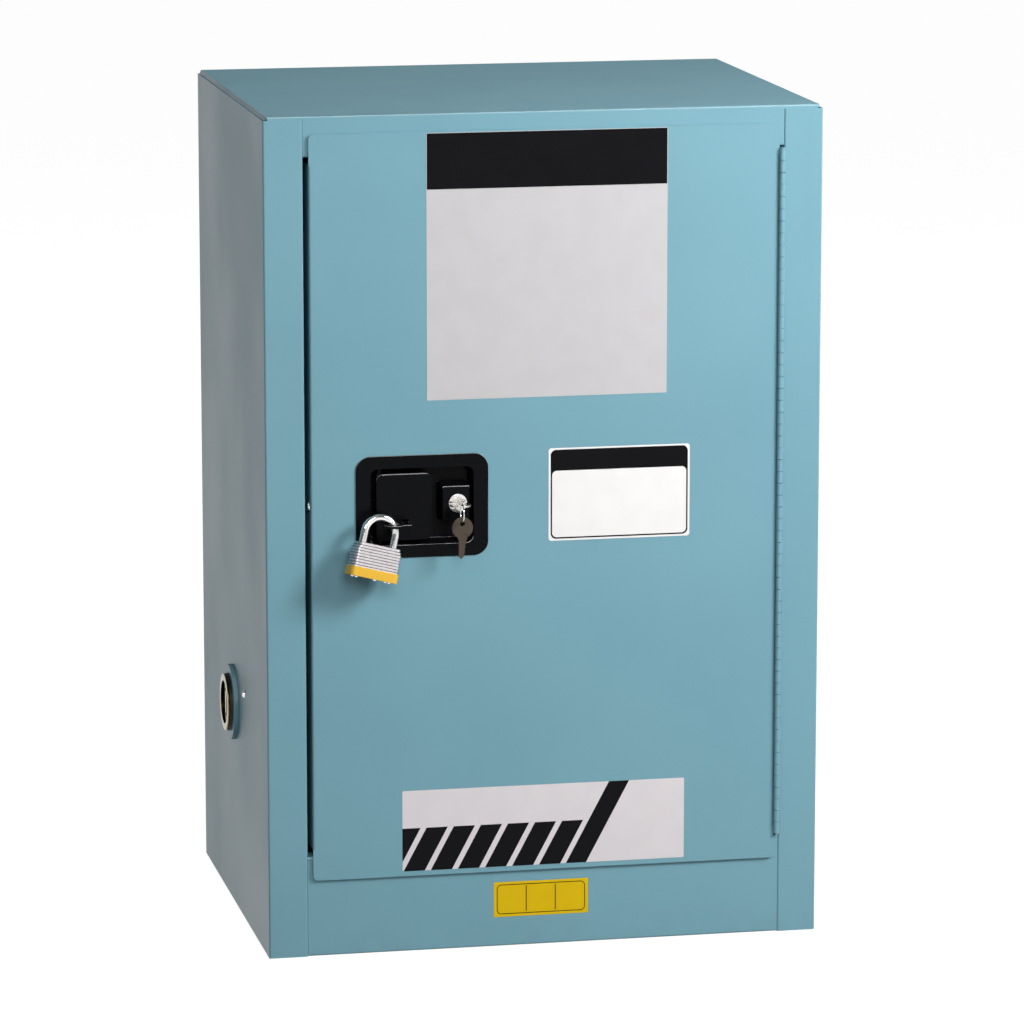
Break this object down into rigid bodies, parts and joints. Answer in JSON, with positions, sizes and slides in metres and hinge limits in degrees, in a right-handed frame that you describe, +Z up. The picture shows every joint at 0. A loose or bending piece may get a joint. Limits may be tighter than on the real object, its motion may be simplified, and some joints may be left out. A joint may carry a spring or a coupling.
{
  "type": "single-door chemical safety cabinet",
  "caption": "Compact double-walled steel cabinet for corrosive liquids: one hinged door with a recessed paddle latch, key lock and padlock, vents, shelf and basin.",
  "frame": {"origin": "on the floor under the middle of the cabinet body", "axes": "+Z up; -Y out of the door, so the viewer of the door faces +Y; +X to the viewer's right, the hinge side"},
  "size_m": [0.6116, 0.5026, 0.889],
  "materials": {
    "paint": "smooth pale blue baked enamel",
    "black": "satin black powder coat",
    "vent_black": "satin black paint",
    "zinc": "bright zinc plating",
    "shelf_steel": "galvanised sheet",
    "bright": "nickel and chrome plating",
    "screen": "perforated stainless steel",
    "brass": "gold passivated plating, worn",
    "lock_steel": "laminated steel plates",
    "bumper": "yellow moulded plastic",
    "tray": "white polyethylene"
  },
  "bodies": {
    "cabinet": {"side_panel_left": "paint", "side_panel_right": "paint", "top_panel": "paint", "front_header": "paint", "front_sill": "paint", "back_panel": "paint", "bottom_pan": "paint", "inner_side_left": "paint", "inner_side_right": "paint", "inner_back": "paint", "inner_top": "paint", "spill_basin": "paint", "shelf_clips": "zinc", "shelf": "shelf_steel", "shelf_tray": "tray", "sump_tray": "tray", "vent_collar_left": "paint", "vent_collar_right": "paint", "vent_tube_left": "vent_black", "vent_tube_right": "vent_black", "flame_screen_left": "screen", "flame_screen_right": "screen", "ground_screw": "bright", "strike_plate": "bright", "foot_nuts": "zinc", "hinge_frame_leaf": "paint", "hinge_pin": "paint"},
    "door": {"hinge_door_leaf": "paint", "door_skin": "paint", "door_back": "paint", "door_stiffener": "zinc", "latch_pan": "black", "pan_nuts": "zinc", "paddle_pin": "bright", "bolt_guide": "zinc", "lock_housing": "black", "lock_barrel": "bright"},
    "paddle": {"paddle": "black", "padlock_eye": "black"},
    "bolt": {"latch_bolt": "bright"},
    "lock": {"lock_plug": "bright", "lock_cam": "zinc", "lock_key": "bright"},
    "ring": {"key_ring": "bright"},
    "spare": {"spare_key": "bright"},
    "shackle": {"padlock_shackle": "bright"},
    "padlock": {"padlock_plates": "lock_steel", "padlock_rivets": "bright", "padlock_bumper": "bumper"},
    "bung_left": {"vent_bung_left": "brass"},
    "bung_right": {"vent_bung_right": "brass"},
    "foot_front_left": {"foot_front_left": "zinc"},
    "foot_front_right": {"foot_front_right": "zinc"},
    "foot_back_left": {"foot_back_left": "zinc"},
    "foot_back_right": {"foot_back_right": "zinc"}
  },
  "joints": [
    {"name": "door_swing", "type": "hinge", "parent": "cabinet", "child": "door", "pos_m": [0.25125, -0.233, 0.4775], "axis": [0, 0, 1], "range_deg": [0, 180]},
    {"name": "paddle_pull", "type": "hinge", "parent": "door", "child": "paddle", "pos_m": [-0.176, -0.226, 0.4798], "axis": [0, 0, -1], "range_deg": [0, 20], "stiffness_Nm_per_rad": 0.8, "springref_deg": -14.32},
    {"name": "bolt_slide", "type": "slide", "parent": "door", "child": "bolt", "axis": [1, 0, 0], "range_m": [0, 0.0069]},
    {"name": "lock_turn", "type": "hinge", "parent": "door", "child": "lock", "pos_m": [-0.0938, -0.2335, 0.482], "axis": [0, -1, 0], "range_deg": [0, 90]},
    {"name": "ring_swing", "type": "hinge", "parent": "lock", "child": "ring", "pos_m": [-0.0938, -0.2569, 0.482], "axis": [0, 1, 0], "range_deg": [-30, 15]},
    {"name": "spare_swing", "type": "hinge", "parent": "ring", "child": "spare", "pos_m": [-0.0938, -0.2569, 0.4659], "axis": [0, 1, 0], "range_deg": [-35, 15]},
    {"name": "padlock_swing", "type": "hinge", "parent": "paddle", "child": "shackle", "pos_m": [-0.1645, -0.249, 0.4631], "axis": [0.2433, 0.1607, 0.9565], "range_deg": [0, 60]},
    {"name": "padlock_open", "type": "slide", "parent": "shackle", "child": "padlock", "axis": [-0.2433, -0.1607, -0.9565], "range_m": [0, 0.01]},
    {"name": "bung_left_turn", "type": "hinge", "parent": "cabinet", "child": "bung_left", "pos_m": [-0.2955, 0.0095, 0.225], "axis": [-1, 0, 0], "range_deg": [0, 360]},
    {"name": "bung_right_turn", "type": "hinge", "parent": "cabinet", "child": "bung_right", "pos_m": [0.2955, 0.0095, 0.739], "axis": [1, 0, 0], "range_deg": [0, 360]},
    {"name": "foot_front_left_height", "type": "slide", "parent": "cabinet", "child": "foot_front_left", "axis": [0, 0, 1], "range_m": [-0.02, 0]},
    {"name": "foot_front_right_height", "type": "slide", "parent": "cabinet", "child": "foot_front_right", "axis": [0, 0, 1], "range_m": [-0.02, 0]},
    {"name": "foot_back_left_height", "type": "slide", "parent": "cabinet", "child": "foot_back_left", "axis": [0, 0, 1], "range_m": [-0.02, 0]},
    {"name": "foot_back_right_height", "type": "slide", "parent": "cabinet", "child": "foot_back_right", "axis": [0, 0, 1], "range_m": [-0.02, 0]}
  ],
  "couplings": [
    {"joint": "bolt_slide", "follows": "paddle_pull", "m_per_rad": 0.0196}
  ]
}
